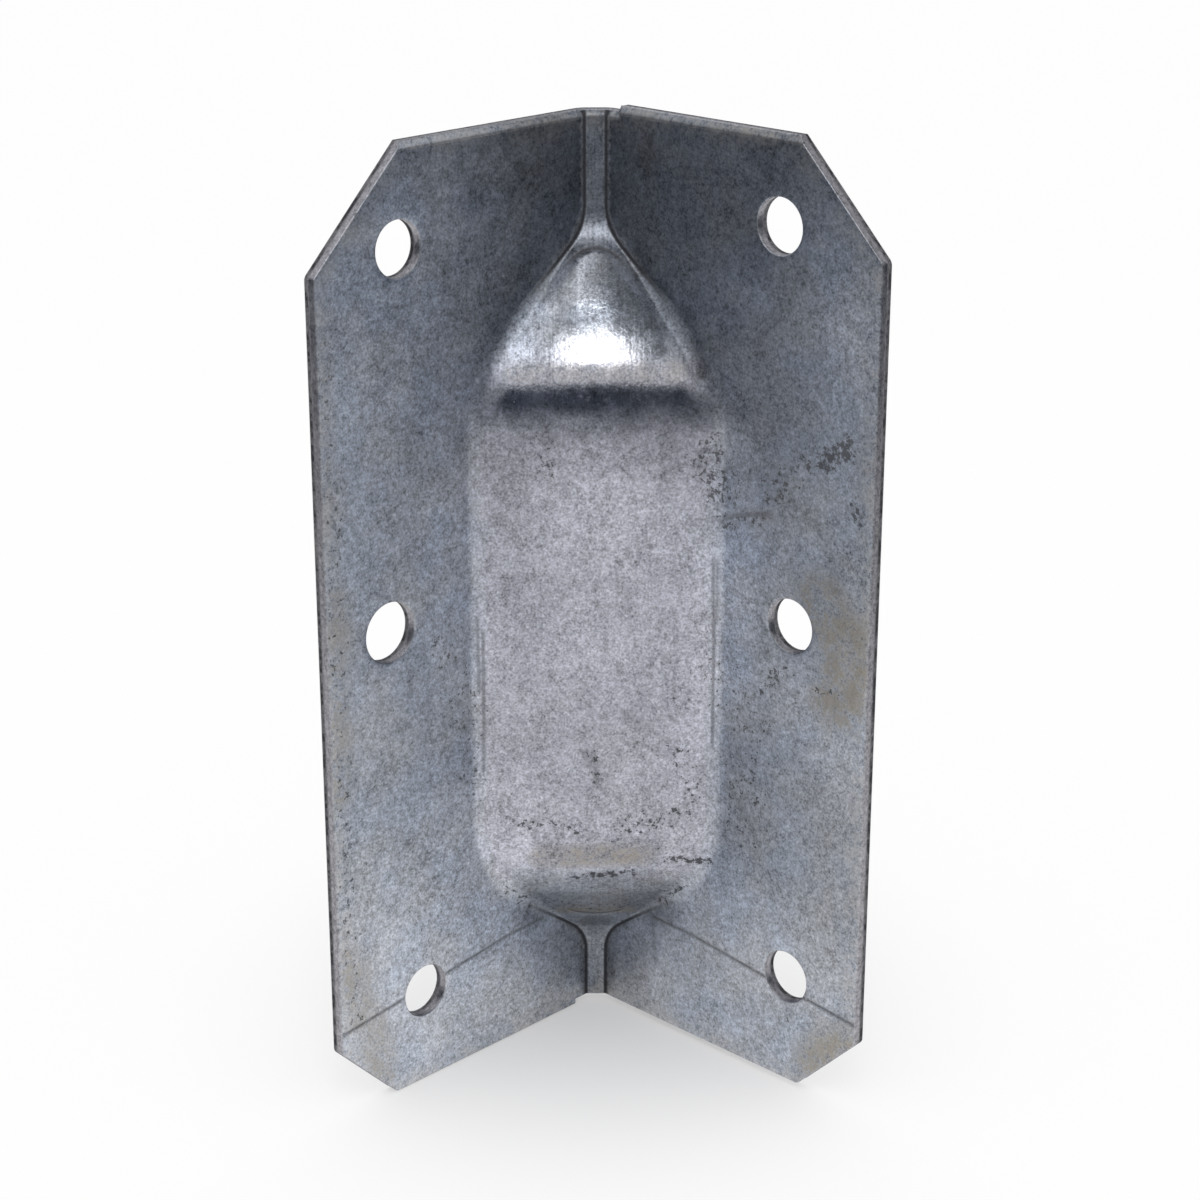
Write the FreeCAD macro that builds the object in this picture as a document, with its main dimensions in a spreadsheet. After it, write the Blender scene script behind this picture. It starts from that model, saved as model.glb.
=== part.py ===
import FreeCAD, Part
import Sketcher
import math
import os

# Gusset angle: one galvanised sheet folded square along a vertical heel, with a
# long ribbed gusset pressed across the inside of the fold to brace the two legs.
# Frame: the heel line is the Z axis, the lower cut end is z = 0, the outer faces
# of the legs lie on y = 0 (leg along +X) and x = 0 (leg along +Y). Millimetres.

Vector = FreeCAD.Vector
document = FreeCAD.newDocument("gusset_angle")

# Driving dimensions

# The folded sheet
part_length = 82.55
leg_width = 31.75
sheet_thickness = 1.21
crease_radius = 0.8
root_flat = 1.05

# The pressed gusset
gusset_lower_margin = 5.05
gusset_upper_margin = 8.25
gusset_rise = 9.28
ramp_angle = 42.0
foot_radius = 5.0
shoulder_radius = 13.0

# The cut-off ends and the clipped corners of the legs
rolled_edge_radius = 0.75
cutoff_step = 0.45
cutoff_step_reach = 3.8
x_leg_upper_clip = 9.75
x_leg_lower_clip = 6.0
y_leg_upper_clip = 8.7
y_leg_lower_clip = 6.6
clip_corner_radius = 0.7

# Nail holes: each inset is from the leg's free edge, each margin from the nearer
# end, and the middle holes stand a little above half length
nail_hole_diameter = 4.6
wide_hole_diameter = 5.15
x_leg_upper_hole_inset = 8.6
x_leg_upper_hole_margin = 8.75
x_leg_middle_hole_inset = 6.7
x_leg_lower_hole_inset = 9.55
x_leg_lower_hole_margin = 8.5
y_leg_upper_hole_inset = 10.35
y_leg_upper_hole_margin = 7.3
y_leg_middle_hole_inset = 8.25
y_leg_lower_hole_inset = 7.75
y_leg_lower_hole_margin = 10.3
middle_hole_raise = 1.08

driving_sizes = {
    "part_length": part_length,
    "leg_width": leg_width,
    "sheet_thickness": sheet_thickness,
    "crease_radius": crease_radius,
    "root_flat": root_flat,
    "gusset_lower_margin": gusset_lower_margin,
    "gusset_upper_margin": gusset_upper_margin,
    "gusset_rise": gusset_rise,
    "ramp_angle": ramp_angle,
    "foot_radius": foot_radius,
    "shoulder_radius": shoulder_radius,
    "rolled_edge_radius": rolled_edge_radius,
    "cutoff_step": cutoff_step,
    "cutoff_step_reach": cutoff_step_reach,
    "x_leg_upper_clip": x_leg_upper_clip,
    "x_leg_lower_clip": x_leg_lower_clip,
    "y_leg_upper_clip": y_leg_upper_clip,
    "y_leg_lower_clip": y_leg_lower_clip,
    "clip_corner_radius": clip_corner_radius,
    "nail_hole_diameter": nail_hole_diameter,
    "wide_hole_diameter": wide_hole_diameter,
    "x_leg_upper_hole_inset": x_leg_upper_hole_inset,
    "x_leg_upper_hole_margin": x_leg_upper_hole_margin,
    "x_leg_middle_hole_inset": x_leg_middle_hole_inset,
    "x_leg_lower_hole_inset": x_leg_lower_hole_inset,
    "x_leg_lower_hole_margin": x_leg_lower_hole_margin,
    "y_leg_upper_hole_inset": y_leg_upper_hole_inset,
    "y_leg_upper_hole_margin": y_leg_upper_hole_margin,
    "y_leg_middle_hole_inset": y_leg_middle_hole_inset,
    "y_leg_lower_hole_inset": y_leg_lower_hole_inset,
    "y_leg_lower_hole_margin": y_leg_lower_hole_margin,
    "middle_hole_raise": middle_hole_raise,
}
sizes = document.addObject("Spreadsheet::Sheet", "sizes")
for row, (alias, number) in enumerate(driving_sizes.items(), start=1):
    sizes.set("A%d" % row, alias)
    sizes.set("B%d" % row, str(number))
    sizes.setAlias("B%d" % row, alias)
document.recompute()

# The body and its sketches

body = document.addObject("PartDesign::Body", "gusset_angle")
body.Label = "gusset_angle"
planes = {feature.Role: feature for feature in body.Origin.OriginFeatures}


def new_sketch(name, plane):
    """Start a sketch on one of the body's own origin planes."""
    sketch = body.newObject("Sketcher::SketchObject", name)
    sketch.AttachmentSupport = [(planes[plane], "")]
    sketch.MapMode = "FlatFace"
    return sketch


def hold(sketch, kind, *where, by=None):
    """Add a constraint, driven by a formula of the sheet's sizes if one is given."""
    index = sketch.addConstraint(Sketcher.Constraint(kind, *where))
    if by:
        sketch.setExpression("Constraints[%d]" % index, by)


def polygon(sketch, points):
    """Draw a closed chain of lines and return the number of its first line."""
    first = sketch.GeometryCount
    last = len(points) - 1
    for here, there in zip(points, points[1:] + points[:1]):
        sketch.addGeometry(Part.LineSegment(Vector(*here), Vector(*there)), False)
    for line in range(first, first + last):
        hold(sketch, "Coincident", line, 2, line + 1, 1)
    hold(sketch, "Coincident", first + last, 2, first, 1)
    return first


def place(sketch, line, across, up):
    """Hold the start of a line at a distance across and up from the sketch origin."""
    start = sketch.getPoint(line, 1)
    hold(sketch, "DistanceX", -1, 1, line, 1, start.x, by=across)
    hold(sketch, "DistanceY", -1, 1, line, 1, start.y, by=up)


def finished(feature, takes_from=None):
    """Rebuild and make sure the feature is sound, and that a cut took material."""
    document.recompute()
    if "Invalid" in feature.State or "Error" in feature.State:
        raise RuntimeError(feature.Name + " did not build")
    if feature.Shape.isNull() or not feature.Shape.isValid():
        raise RuntimeError(feature.Name + " has no sound shape")
    if takes_from and feature.Shape.Volume > takes_from.Shape.Volume - 0.01:
        raise RuntimeError(feature.Name + " cut nothing")
    return feature


# A square block fills the space between the outer faces of the legs

block_sketch = new_sketch("block_sketch", "XY_Plane")
polygon(block_sketch, [(0, 0, 0), (leg_width, 0, 0), (leg_width, leg_width, 0), (0, leg_width, 0)])
hold(block_sketch, "Coincident", 0, 1, -1, 1)
hold(block_sketch, "Horizontal", 0)
hold(block_sketch, "Vertical", 1)
hold(block_sketch, "Horizontal", 2)
hold(block_sketch, "Vertical", 3)
hold(block_sketch, "Equal", 0, 1)
hold(block_sketch, "DistanceX", 0, 1, 0, 2, leg_width, by="sizes.leg_width")

block = body.newObject("PartDesign::Pad", "block")
block.Profile = block_sketch
block.setExpression("Length", "sizes.part_length")
finished(block)

# The back of the gusset is a profile drawn on the plane that halves the fold. It
# starts as the narrow flat along the heel, swings out through a foot, climbs a
# ramp and rolls over a shoulder on to the panel, then comes back the same way.

tangent_share = math.tan(math.radians(22.5))
outer_crease = crease_radius + sheet_thickness
root = root_flat / 2 + outer_crease * tangent_share
panel = root + gusset_rise
foot = foot_radius + sheet_thickness
shoulder = shoulder_radius - sheet_thickness
ramp = math.radians(ramp_angle)
low = gusset_lower_margin
high = part_length - gusset_upper_margin
overrun = leg_width / 4
length_past_gusset = gusset_upper_margin + overrun


def on_foot(turn):
    return (root + foot * (1 - math.cos(turn)), low + foot * math.sin(turn))


ramp_start = on_foot(ramp)
ramp_end_x = panel - shoulder * (1 - math.cos(ramp))
ramp_end = (ramp_end_x, ramp_start[1] + (ramp_end_x - ramp_start[0]) / math.tan(ramp))
panel_start_z = ramp_end[1] + shoulder * math.sin(ramp)


def on_shoulder(turn):
    return (panel - shoulder * (1 - math.cos(turn)), panel_start_z - shoulder * math.sin(turn))


def below(point):
    return Vector(point[0], point[1], 0)


def above(point):
    return Vector(point[0], low + high - point[1], 0)


profile = new_sketch("gusset_profile", "XZ_Plane")
profile.AttachmentOffset = FreeCAD.Placement(Vector(0, 0, 0), FreeCAD.Rotation(Vector(0, 1, 0), 45))
bottom_end = Vector(root, -overrun, 0)
top_end = Vector(root, part_length + overrun, 0)
top_back = Vector(-overrun, part_length + overrun, 0)
bottom_back = Vector(-overrun, -overrun, 0)
foot_points = [on_foot(0), on_foot(ramp / 2), ramp_start]
shoulder_points = [ramp_end, on_shoulder(ramp / 2), on_shoulder(0)]
profile.addGeometry(Part.LineSegment(bottom_end, below(foot_points[0])), False)
profile.addGeometry(Part.Arc(*[below(point) for point in foot_points]), False)
profile.addGeometry(Part.LineSegment(below(ramp_start), below(ramp_end)), False)
profile.addGeometry(Part.Arc(*[below(point) for point in shoulder_points]), False)
profile.addGeometry(Part.LineSegment(below(shoulder_points[2]), above(shoulder_points[2])), False)
profile.addGeometry(Part.Arc(*[above(point) for point in shoulder_points[::-1]]), False)
profile.addGeometry(Part.LineSegment(above(ramp_end), above(ramp_start)), False)
profile.addGeometry(Part.Arc(*[above(point) for point in foot_points[::-1]]), False)
profile.addGeometry(Part.LineSegment(above(foot_points[0]), top_end), False)
profile.addGeometry(Part.LineSegment(top_end, top_back), False)
profile.addGeometry(Part.LineSegment(top_back, bottom_back), False)
profile.addGeometry(Part.LineSegment(bottom_back, bottom_end), False)

# Lines and arcs run smoothly into each other up the front of the profile
hold(profile, "Tangent", 0, 2, 1, 2)
hold(profile, "Tangent", 1, 1, 2, 1)
hold(profile, "Tangent", 2, 2, 3, 1)
hold(profile, "Tangent", 3, 2, 4, 1)
hold(profile, "Tangent", 4, 2, 5, 1)
hold(profile, "Tangent", 5, 2, 6, 1)
hold(profile, "Tangent", 6, 2, 7, 2)
hold(profile, "Tangent", 7, 1, 8, 1)
for line in (8, 9, 10):
    hold(profile, "Coincident", line, 2, line + 1, 1)
hold(profile, "Coincident", 11, 2, 0, 1)
for upright in (0, 4, 10):
    hold(profile, "Vertical", upright)
for level in (9, 11):
    hold(profile, "Horizontal", level)
hold(profile, "Vertical", 0, 1, 8, 2)

root_formula = "sizes.root_flat / 2 + (sizes.crease_radius + sizes.sheet_thickness) * tan(22.5 deg)"
overrun_formula = "sizes.leg_width / 4"
place(profile, 0, root_formula, "-(%s)" % overrun_formula)
place(profile, 10, "-(%s)" % overrun_formula, "sizes.part_length + " + overrun_formula)
hold(profile, "DistanceX", 0, 1, 4, 1, panel - root, by="sizes.gusset_rise")
hold(profile, "DistanceY", -1, 1, 0, 2, low, by="sizes.gusset_lower_margin")
past_gusset_formula = "sizes.gusset_upper_margin + " + overrun_formula
hold(profile, "DistanceY", 8, 1, 8, 2, length_past_gusset, by=past_gusset_formula)
for foot_arc in (1, 7):
    hold(profile, "Radius", foot_arc, foot, by="sizes.foot_radius + sizes.sheet_thickness")
for shoulder_arc in (3, 5):
    hold(profile, "Radius", shoulder_arc, shoulder, by="sizes.shoulder_radius - sizes.sheet_thickness")
hold(profile, "Angle", 2, math.pi / 2 - ramp, by="(90 - sizes.ramp_angle) * 1 deg")
hold(profile, "Angle", 6, math.pi / 2 + ramp, by="(90 + sizes.ramp_angle) * 1 deg")

gusset_back = body.newObject("PartDesign::Pocket", "gusset_back")
gusset_back.Profile = profile
gusset_back.SideType = "Symmetric"
gusset_back.setExpression("Length", "sizes.leg_width * 4")
finished(gusset_back, takes_from=block)

# The creases on both sides of the gusset, from end to end of the fold, are rounded


def lies_on(edge, axis, position):
    """True where the whole edge keeps to one plane square to the given axis."""
    span = edge.LastParameter - edge.FirstParameter
    points = [edge.valueAt(edge.FirstParameter + span * step / 4) for step in range(5)]
    return all(abs(point[axis] - position) < 1e-6 for point in points)


def is_crease(edge):
    on_outer_face = lies_on(edge, 0, 0) or lies_on(edge, 1, 0)
    on_rim = lies_on(edge, 0, leg_width) or lies_on(edge, 1, leg_width)
    on_end = lies_on(edge, 2, 0) or lies_on(edge, 2, part_length)
    return on_outer_face and not on_rim and not on_end


def named_edges(shape, wanted):
    return ["Edge%d" % (number + 1) for number, edge in enumerate(shape.Edges) if wanted(edge)]


creases = body.newObject("PartDesign::Fillet", "creases")
creases.Base = (gusset_back, named_edges(gusset_back.Shape, is_crease))
creases.setExpression("Radius", "sizes.crease_radius + sizes.sheet_thickness")
finished(creases, takes_from=gusset_back)

# Hollowing the block from its open sides leaves the sheet at one even thickness


def is_open_side(face):
    box = face.BoundBox
    on_end = box.ZLength < 1e-6
    on_x_rim = box.XMin > leg_width - 1e-3
    on_y_rim = box.YMin > leg_width - 1e-3
    return on_end or on_x_rim or on_y_rim


open_sides = []
for number, face in enumerate(creases.Shape.Faces, start=1):
    if is_open_side(face):
        open_sides.append("Face%d" % number)
folded_sheet = body.newObject("PartDesign::Thickness", "folded_sheet")
folded_sheet.Base = (creases, open_sides)
folded_sheet.Reversed = True
folded_sheet.setExpression("Value", "sizes.sheet_thickness")
finished(folded_sheet, takes_from=creases)

# The cut-off at each end has a small step beside the fold, so one leg stands a
# little higher than the other: the +Y leg at the top, the +X leg at the bottom.


def cutoff_rectangle(sketch, far_x, far_y):
    corner = polygon(sketch, [(-1, -1, 0), (leg_width, -1, 0), (leg_width, leg_width, 0), (-1, leg_width, 0)])
    hold(sketch, "Horizontal", corner)
    hold(sketch, "Vertical", corner + 1)
    hold(sketch, "Horizontal", corner + 2)
    hold(sketch, "Vertical", corner + 3)
    place(sketch, corner, "-(%s)" % overrun_formula, "-(%s)" % overrun_formula)
    place(sketch, corner + 2, far_x, far_y)


past_rim = "sizes.leg_width + " + overrun_formula
upper_step_sketch = new_sketch("upper_step_sketch", "XY_Plane")
upper_step_sketch.setExpression("AttachmentOffset.Base.z", "sizes.part_length")
cutoff_rectangle(upper_step_sketch, past_rim, "sizes.cutoff_step_reach")
upper_step = body.newObject("PartDesign::Pocket", "upper_step")
upper_step.Profile = upper_step_sketch
upper_step.setExpression("Length", "sizes.cutoff_step")
finished(upper_step, takes_from=folded_sheet)

# The blade that parted the strip rolled the inside of the upper edge over before it
# broke through, so each leg's upper edge is rounded from the step outwards

roll_formula = "min(sizes.rolled_edge_radius; sizes.sheet_thickness * 0.8)"


def roll_upper_edge(leg_name, plane, reverse, offset_sign, top, top_formula, previous):
    """Cut off the inner corner of a leg's upper edge along a quarter round."""
    sketch = new_sketch(leg_name + "_rolled_edge_sketch", plane)
    sketch.setExpression("AttachmentOffset.Base.z", offset_sign + "sizes.cutoff_step_reach")
    radius = min(rolled_edge_radius, sheet_thickness * 0.8)
    centre = Vector(sheet_thickness - radius, top - radius, 0)
    round_edge = Part.Circle(centre, Vector(0, 0, 1), radius)
    sketch.addGeometry(Part.ArcOfCircle(round_edge, 0, math.pi / 2), False)
    chain = [
        Vector(centre.x, top, 0),
        Vector(centre.x, top + overrun, 0),
        Vector(sheet_thickness + overrun, top + overrun, 0),
        Vector(sheet_thickness + overrun, centre.y, 0),
        Vector(sheet_thickness, centre.y, 0),
    ]
    for here, there in zip(chain[:-1], chain[1:]):
        sketch.addGeometry(Part.LineSegment(here, there), False)
    for line in range(4):
        hold(sketch, "Coincident", line, 2, line + 1, 1)
    hold(sketch, "Coincident", 4, 2, 0, 1)
    hold(sketch, "Vertical", 1)
    hold(sketch, "Horizontal", 2)
    hold(sketch, "Vertical", 3)
    hold(sketch, "Horizontal", 4)
    hold(sketch, "Horizontal", 0, 3, 0, 1)
    hold(sketch, "Vertical", 0, 3, 0, 2)
    hold(sketch, "Radius", 0, radius, by=roll_formula)
    hold(sketch, "DistanceX", -1, 1, 0, 1, sheet_thickness, by="sizes.sheet_thickness")
    hold(sketch, "DistanceY", -1, 1, 0, 2, top, by=top_formula)
    hold(sketch, "DistanceY", 1, 1, 1, 2, overrun, by=overrun_formula)
    hold(sketch, "DistanceX", 4, 2, 4, 1, overrun, by=overrun_formula)
    rolled = body.newObject("PartDesign::Pocket", leg_name + "_rolled_edge")
    rolled.Profile = sketch
    rolled.Reversed = reverse
    rolled.setExpression("Length", "sizes.leg_width")
    return finished(rolled, takes_from=previous)


x_top = part_length - cutoff_step
x_top_formula = "sizes.part_length - sizes.cutoff_step"
x_rolled = roll_upper_edge("x_leg", "YZ_Plane", True, "", x_top, x_top_formula, upper_step)
y_rolled = roll_upper_edge("y_leg", "XZ_Plane", False, "-", part_length, "sizes.part_length", x_rolled)

lower_step_sketch = new_sketch("lower_step_sketch", "XY_Plane")
cutoff_rectangle(lower_step_sketch, "sizes.cutoff_step_reach", past_rim)
lower_step = body.newObject("PartDesign::Pocket", "lower_step")
lower_step.Profile = lower_step_sketch
lower_step.Reversed = True
lower_step.setExpression("Length", "sizes.cutoff_step")
finished(lower_step, takes_from=y_rolled)

# Each leg has its two outer corners clipped at 45 degrees


def clip_triangle(sketch, clip, at_top):
    """A right-angled triangle over the outer corner at one end of a leg."""
    cut = driving_sizes[clip]
    if at_top:
        start = (leg_width, part_length - cut, 0)
        first = polygon(sketch, [start, (leg_width, part_length, 0), (leg_width - cut, part_length, 0)])
        place(sketch, first + 1, "sizes.leg_width", "sizes.part_length")
    else:
        first = polygon(sketch, [(leg_width - cut, 0, 0), (leg_width, 0, 0), (leg_width, cut, 0)])
        hold(sketch, "DistanceX", -1, 1, first + 1, 1, leg_width, by="sizes.leg_width")
        hold(sketch, "PointOnObject", first + 1, 1, -1)
    upright = first if at_top else first + 1
    level = first + 1 if at_top else first
    hold(sketch, "Vertical", upright)
    hold(sketch, "Horizontal", level)
    hold(sketch, "DistanceY", upright, 1, upright, 2, cut, by="sizes." + clip)
    hold(sketch, "Equal", upright, level)


def clip_corners(leg_name, plane, reverse, previous):
    sketch = new_sketch(leg_name + "_clip_sketch", plane)
    clip_triangle(sketch, leg_name + "_upper_clip", at_top=True)
    clip_triangle(sketch, leg_name + "_lower_clip", at_top=False)
    clips = body.newObject("PartDesign::Pocket", leg_name + "_clips")
    clips.Profile = sketch
    clips.Type = "ThroughAll"
    clips.Reversed = reverse
    return finished(clips, takes_from=previous)


x_clips = clip_corners("x_leg", "XZ_Plane", False, lower_step)
y_clips = clip_corners("y_leg", "YZ_Plane", True, x_clips)


def is_clip_corner(edge):
    """True for an edge through a leg at a clip, apart from the corners that the rolled edge left sharp."""
    box = edge.BoundBox
    below_rolled_edge = box.ZMax < part_length - cutoff_step - 1e-3
    through_x_leg = box.XMin > leg_width / 2 and box.XLength < 1e-6 and box.ZLength < 1e-6
    through_y_leg = box.YMin > leg_width / 2 and box.YLength < 1e-6 and box.ZLength < 1e-6
    return below_rolled_edge and (through_x_leg or through_y_leg)


clip_corners_eased = body.newObject("PartDesign::Fillet", "clip_corners_eased")
clip_corners_eased.Base = (y_clips, named_edges(y_clips.Shape, is_clip_corner))
clip_corners_eased.setExpression("Radius", "sizes.clip_corner_radius")
finished(clip_corners_eased, takes_from=y_clips)

# Staggered nail holes go square through each leg


def nail_hole(sketch, hole, diameter, height, height_formula):
    """Draw one hole, held at its inset from the leg's free edge and at its height."""
    reach = leg_width - driving_sizes[hole + "_inset"]
    across = driving_sizes[diameter]
    ring = sketch.addGeometry(Part.Circle(Vector(reach, height, 0), Vector(0, 0, 1), across / 2), False)
    hold(sketch, "Diameter", ring, across, by="sizes." + diameter)
    hold(sketch, "DistanceX", -1, 1, ring, 3, reach, by="sizes.leg_width - sizes.%s_inset" % hole)
    hold(sketch, "DistanceY", -1, 1, ring, 3, height, by=height_formula)


def punch_holes(leg_name, plane, reverse, middle_diameter, previous):
    sketch = new_sketch(leg_name + "_hole_sketch", plane)
    upper = leg_name + "_upper_hole"
    middle = leg_name + "_middle_hole"
    lower = leg_name + "_lower_hole"
    upper_height = part_length - driving_sizes[upper + "_margin"]
    middle_height = part_length / 2 + middle_hole_raise
    lower_height = driving_sizes[lower + "_margin"]
    upper_formula = "sizes.part_length - sizes.%s_margin" % upper
    middle_formula = "sizes.part_length / 2 + sizes.middle_hole_raise"
    lower_formula = "sizes.%s_margin" % lower
    nail_hole(sketch, upper, "nail_hole_diameter", upper_height, upper_formula)
    nail_hole(sketch, middle, middle_diameter, middle_height, middle_formula)
    nail_hole(sketch, lower, "nail_hole_diameter", lower_height, lower_formula)
    holes = body.newObject("PartDesign::Pocket", leg_name + "_holes")
    holes.Profile = sketch
    holes.Type = "ThroughAll"
    holes.Reversed = reverse
    return finished(holes, takes_from=previous)


x_holes = punch_holes("x_leg", "XZ_Plane", False, "wide_hole_diameter", clip_corners_eased)
y_holes = punch_holes("y_leg", "YZ_Plane", True, "nail_hole_diameter", x_holes)

# Check the whole document, then write the sheet out

body.Tip = y_holes
document.recompute()
for item in document.Objects:
    if "Invalid" in item.State or "Error" in item.State:
        raise RuntimeError(item.Name + " did not build")
if body.Shape.isNull() or not body.Shape.isValid() or len(body.Shape.Solids) != 1:
    raise RuntimeError("the folded sheet is not one sound solid")
os.makedirs("parts", exist_ok=True)
body.Shape.exportStep("parts/%s.step" % body.Label)
print("%s: %.1f mm3, %d faces" % (body.Label, body.Shape.Volume, len(body.Shape.Faces)))
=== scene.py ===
# %% [markdown]
# # A pressed gusset angle in galvanised sheet
# This lesson dresses one folded connector for timber frames: two legs, the bend between them
# and a gusset pressed out of that bend. The exact solid already exists as a CAD part, so the
# first step is to load it. Everything after this works in metres in that same frame, and
# nothing may grow past that box.

# %% Load the CAD frame
import math

import bmesh
import bpy
import numpy as np
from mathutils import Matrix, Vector, noise
from mathutils.geometry import delaunay_2d_cdt


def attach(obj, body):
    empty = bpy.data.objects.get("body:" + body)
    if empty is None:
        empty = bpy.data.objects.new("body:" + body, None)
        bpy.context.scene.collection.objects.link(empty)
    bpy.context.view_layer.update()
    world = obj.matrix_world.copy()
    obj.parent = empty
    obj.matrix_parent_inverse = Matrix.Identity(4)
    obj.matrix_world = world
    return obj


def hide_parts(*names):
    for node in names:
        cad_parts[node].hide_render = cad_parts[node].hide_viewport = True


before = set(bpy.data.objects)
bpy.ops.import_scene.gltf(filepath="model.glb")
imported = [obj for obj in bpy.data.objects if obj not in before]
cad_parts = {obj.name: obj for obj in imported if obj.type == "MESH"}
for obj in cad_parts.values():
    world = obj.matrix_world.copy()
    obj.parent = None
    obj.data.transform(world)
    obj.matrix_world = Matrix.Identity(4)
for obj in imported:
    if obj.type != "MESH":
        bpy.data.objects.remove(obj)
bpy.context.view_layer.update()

mm = 0.001

# %% [markdown]
# ## The camera
# The picture was taken from about a forearm's length away, looking a little down into the
# inside of the angle. A camera can be set up by eye, but here its place and lens were fitted
# to the straight edges of the part, so edges land where they do in the picture. No shift is
# needed, and depth of field stays off so that other views stay sharp.

# %% Camera at the picture's angle
camera_place = Vector((0.15860, 0.15520, 0.11961))
camera_turn = math.radians(-135.73)
camera_drop = math.radians(20.12)
gaze = Vector((
    math.cos(camera_turn) * math.cos(camera_drop),
    math.sin(camera_turn) * math.cos(camera_drop),
    -math.sin(camera_drop),
))
camera_data = bpy.data.cameras.new("picture_camera")
camera_data.sensor_width = 36.0
camera_data.lens = 80.06
camera_data.clip_start = 0.01
camera = bpy.data.objects.new("picture_camera", camera_data)
camera.location = camera_place
camera.rotation_mode = "QUATERNION"
camera.rotation_quaternion = gaze.to_track_quat("-Z", "Y")
bpy.context.scene.collection.objects.link(camera)
bpy.context.scene.camera = camera
bpy.context.scene.view_settings.view_transform = "Standard"
print("camera stands", round(camera_place.length, 3), "m from the heel")

# %% [markdown]
# ## Small helpers for shader nodes
# Materials below are node trees built in code. The first helper adds a node, sets its options,
# and for each socket either links an output or sets a plain value. The others build on it, and
# keep later cells short.

# %% Node helpers
def put(tree, kind, sockets=None, **options):
    """Add a node to the tree; a socket that is given another node's output is linked to it."""
    made = tree.nodes.new(kind)
    for name, value in options.items():
        setattr(made, name, value)
    for name, value in (sockets or {}).items():
        if isinstance(value, bpy.types.NodeSocket):
            tree.links.new(value, made.inputs[name])
        else:
            made.inputs[name].default_value = value
    return made


def math_node(tree, operation, first, second=0.0, third=0.0):
    """One step of arithmetic on two or three values or outputs."""
    return put(tree, "ShaderNodeMath", {0: first, 1: second, 2: third}, operation=operation).outputs[0]


def fade(tree, value, low, high, from_value=0.0, to_value=1.0):
    """A smooth ramp of the value between two limits."""
    sockets = {"Value": value, "From Min": low, "From Max": high, "To Min": from_value, "To Max": to_value}
    return put(tree, "ShaderNodeMapRange", sockets, interpolation_type="SMOOTHSTEP").outputs["Result"]


def blend_colour(tree, amount, first, second):
    """Mix of two colours by an amount from 0 to 1."""
    return put(tree, "ShaderNodeMix", {0: amount, 6: first, 7: second}, data_type="RGBA").outputs[2]


def empty_material(name):
    """A material with a bare output, and its tree."""
    material = bpy.data.materials.new(name)
    material.use_nodes = True
    material.node_tree.nodes.clear()
    return material, material.node_tree, material.node_tree.nodes.new("ShaderNodeOutputMaterial")


def shows_background(tree):
    """1 for rays from the eye, and for rays that metal or glass sends on."""
    path = tree.nodes.new("ShaderNodeLightPath").outputs
    either = math_node(tree, "MAXIMUM", path["Is Camera Ray"], path["Is Glossy Ray"])
    return math_node(tree, "MAXIMUM", either, path["Is Transmission Ray"])


print("node helpers ready")

# %% [markdown]
# ## The floor and the white surround
# The part stands on plain white paper. A white floor could be had by flooding it with light,
# but that would burn out the metal too. Instead the floor is a pale diffuse sheet that also
# glows for the eye and for reflections, so it reads as white and still keeps a soft shadow.
# Close to the heel it glows less, so the corner between the legs stays as dim as it really is.

# %% Paper floor
floor_reach = 3.0
floor_gap = 0.0001
paper_white = (0.93, 0.93, 0.93, 1)
floor_corners = [(-1, -1), (1, -1), (1, 1), (-1, 1)]
floor_mesh = bpy.data.meshes.new("paper_floor")
floor_mesh.from_pydata([(x * floor_reach, y * floor_reach, 0) for x, y in floor_corners], [], [(0, 1, 2, 3)])
paper_floor = bpy.data.objects.new("paper_floor", floor_mesh)
paper_floor.location.z = -floor_gap
bpy.context.scene.collection.objects.link(paper_floor)

paper, tree, output = empty_material("white_paper")
matt = put(tree, "ShaderNodeBsdfDiffuse", {"Color": paper_white})
glow = put(tree, "ShaderNodeEmission", {"Color": (1, 1, 1, 1), "Strength": 1.0})
floor_place = put(tree, "ShaderNodeTexCoord").outputs["Object"]
from_heel = put(tree, "ShaderNodeVectorMath", {0: floor_place}, operation="LENGTH").outputs["Value"]
open_floor = fade(tree, from_heel, 0.008, 0.045, 0.25, 0.80)
glow_share = math_node(tree, "MULTIPLY", shows_background(tree), open_floor)
both = put(tree, "ShaderNodeMixShader", {0: glow_share, 1: matt.outputs[0], 2: glow.outputs[0]})
tree.links.new(both.outputs[0], output.inputs["Surface"])
floor_mesh.materials.append(paper)
print("floor of", 2 * floor_reach, "m")

# %% White world
world = bpy.data.worlds.new("white_room")
bpy.context.scene.world = world
world.use_nodes = True
tree = world.node_tree
tree.nodes.clear()
room_white = put(tree, "ShaderNodeBackground", {"Color": (1, 1, 1, 1), "Strength": 1.0})
output = tree.nodes.new("ShaderNodeOutputWorld")
tree.links.new(room_white.outputs[0], output.inputs["Surface"])
print("world set")

# %% [markdown]
# ## What the metal sees
# Bare metal shows what stands around it, so its light is built from cards that only
# reflections see. A low dark ring ends the white paper a hand's span away, which darkens
# the upper legs and draws the dark band across the gusset's shoulder. A large dome stands for
# a room with pale walls and a dim ceiling, darker to the right. One small soft lamp in front and
# above puts the bright patch on the slope of the gusset.

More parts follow.
